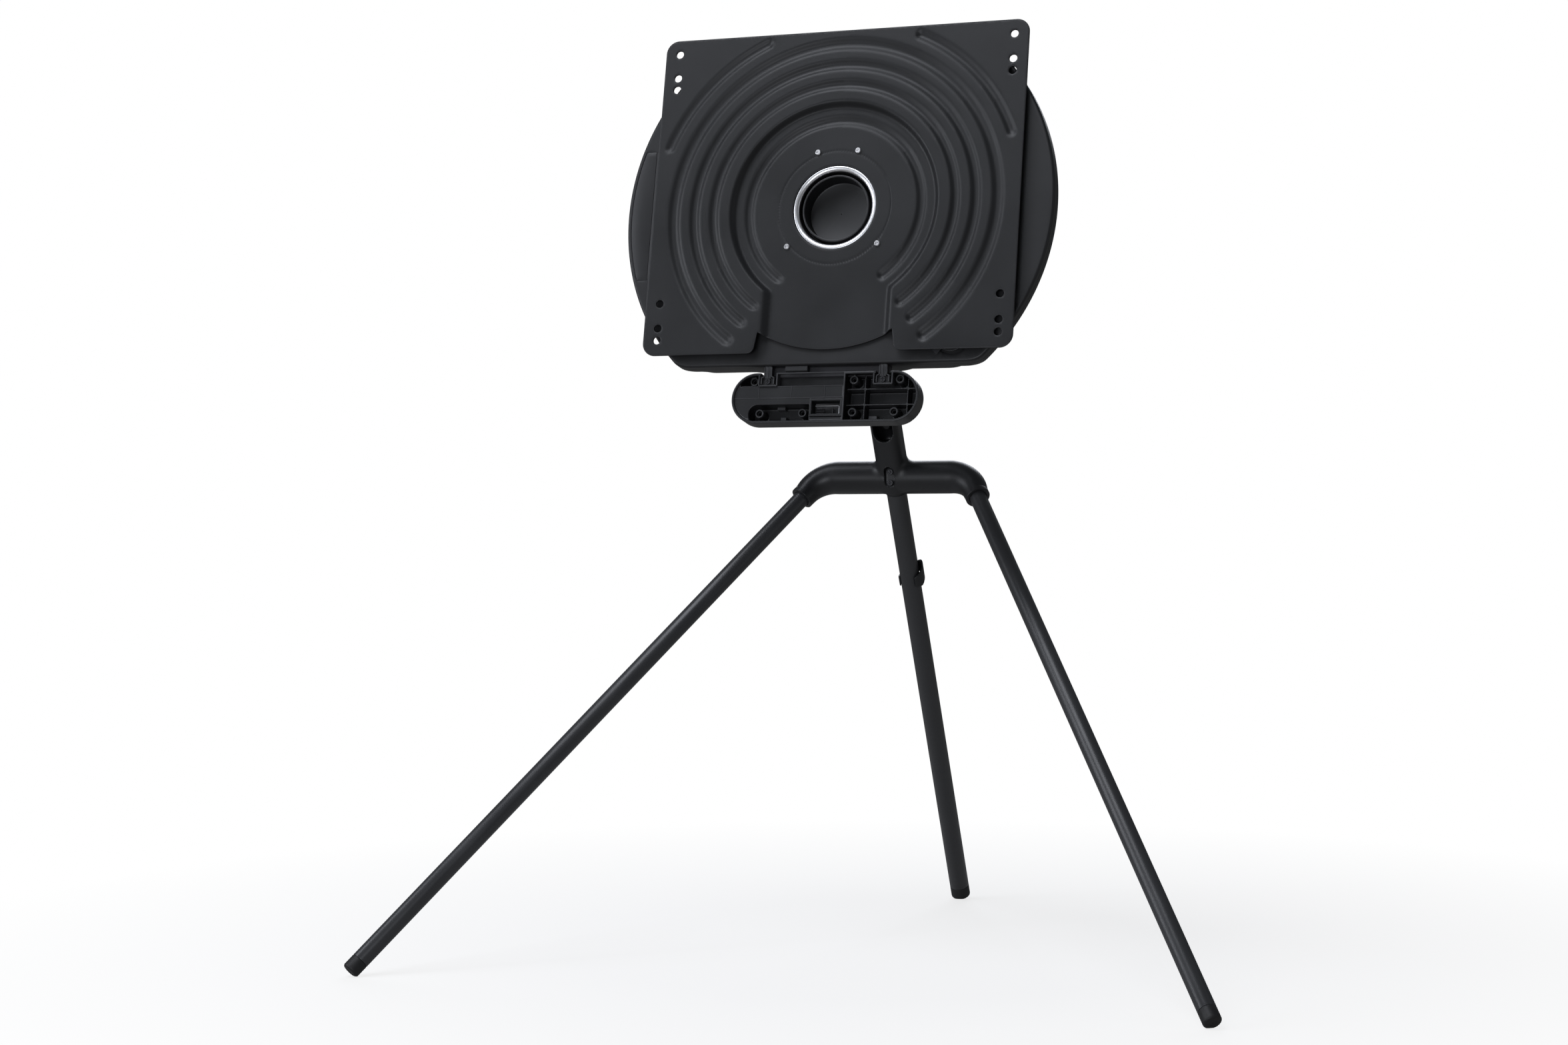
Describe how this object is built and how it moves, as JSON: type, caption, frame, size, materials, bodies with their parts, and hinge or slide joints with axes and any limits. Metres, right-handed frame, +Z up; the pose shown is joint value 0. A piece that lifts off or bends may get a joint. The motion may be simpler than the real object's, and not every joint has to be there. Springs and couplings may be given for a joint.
{
  "type": "tripod television stand",
  "caption": "Free-standing tripod television stand with a leaning neck, a tilting motor head and a turning pressed mounting plate.",
  "frame": {"origin": "on the floor, under the middle of the stand's footprint", "axes": "+Z up, +Y away from the viewer of the television, +X to the viewer's right"},
  "size_m": [0.9672, 0.77, 1.0506],
  "materials": {
    "powder_coat": "fine textured satin black powder coat",
    "bright_steel": "bright zinc plated",
    "dark_steel": "blackened",
    "chrome_trim": "polished",
    "cover_plastic": "fine spark texture, satin",
    "tray_plastic": "satin moulded black",
    "cast_paint": "satin black paint on a casting",
    "tube_paint": "satin black paint on drawn tube",
    "foot_rubber": "matt moulded rubber",
    "machined_steel": "turned and ground",
    "plated_sheet": "zinc plated sheet",
    "brass": "stamped",
    "friction_fibre": "pressed fibre",
    "board_green": "solder mask",
    "chip_black": "moulded"
  },
  "bodies": {
    "stand": {"hub": "cast_paint", "hub_screws": "dark_steel", "mast": "tube_paint", "tilt_knuckle": "cast_paint", "leg_right": "tube_paint", "leg_left": "tube_paint", "leg_rear": "tube_paint", "foot_right": "foot_rubber", "foot_left": "foot_rubber", "foot_rear": "foot_rubber", "leg_plugs": "machined_steel", "cable_clip": "tray_plastic"},
    "rotor": {"vesa_plate": "powder_coat", "plate_screws": "bright_steel", "trim_ring": "chrome_trim", "rotor_hub": "machined_steel", "ring_gear": "machined_steel", "gear_screws": "machined_steel", "bearing_inner_race": "machined_steel", "bearing_spacer": "machined_steel", "retaining_ring": "machined_steel"},
    "drive": {"drive_pinion": "machined_steel", "drive_shaft": "machined_steel"},
    "head": {"bearing_outer_race": "machined_steel", "bearing_balls": "machined_steel", "bearing_cage": "brass", "housing_front": "cover_plastic", "side_panel": "cover_plastic", "cable_latch": "cover_plastic", "housing_rear": "cover_plastic", "chassis_plate": "plated_sheet", "chassis_screws": "machined_steel", "centre_cup": "cover_plastic", "cup_screws": "machined_steel", "gearbox": "chip_black", "drive_motor": "machined_steel", "control_board": "board_green", "board_spacers": "friction_fibre", "board_chips": "chip_black", "limit_switches": "chip_black", "power_inlet": "tray_plastic", "tilt_bracket": "plated_sheet", "bracket_bolts": "machined_steel", "tilt_bolt": "machined_steel", "tilt_nut": "machined_steel", "friction_washers": "friction_fibre", "accessory_tray": "tray_plastic", "connector_frame": "tray_plastic", "connector_contacts": "bright_steel", "hook_clips": "tray_plastic", "hook_screws": "dark_steel"}
  },
  "joints": [
    {"name": "head_tilt", "type": "hinge", "parent": "stand", "child": "head", "pos_m": [0, -0.03171, 0.81097], "axis": [1, 0, 0], "range_deg": [-3, 13]},
    {"name": "plate_turn", "type": "hinge", "parent": "head", "child": "rotor", "pos_m": [0, -0.1176, 0.8479], "axis": [0, -0.9744, 0.225], "range_deg": [0, 90]},
    {"name": "pinion_spin", "type": "hinge", "parent": "head", "child": "drive", "pos_m": [0.10125, -0.09811, 0.8434], "axis": [0, -0.9744, 0.225], "range_deg": [-720, 0]}
  ],
  "couplings": [
    {"joint": "pinion_spin", "follows": "plate_turn", "ratio": -8}
  ]
}
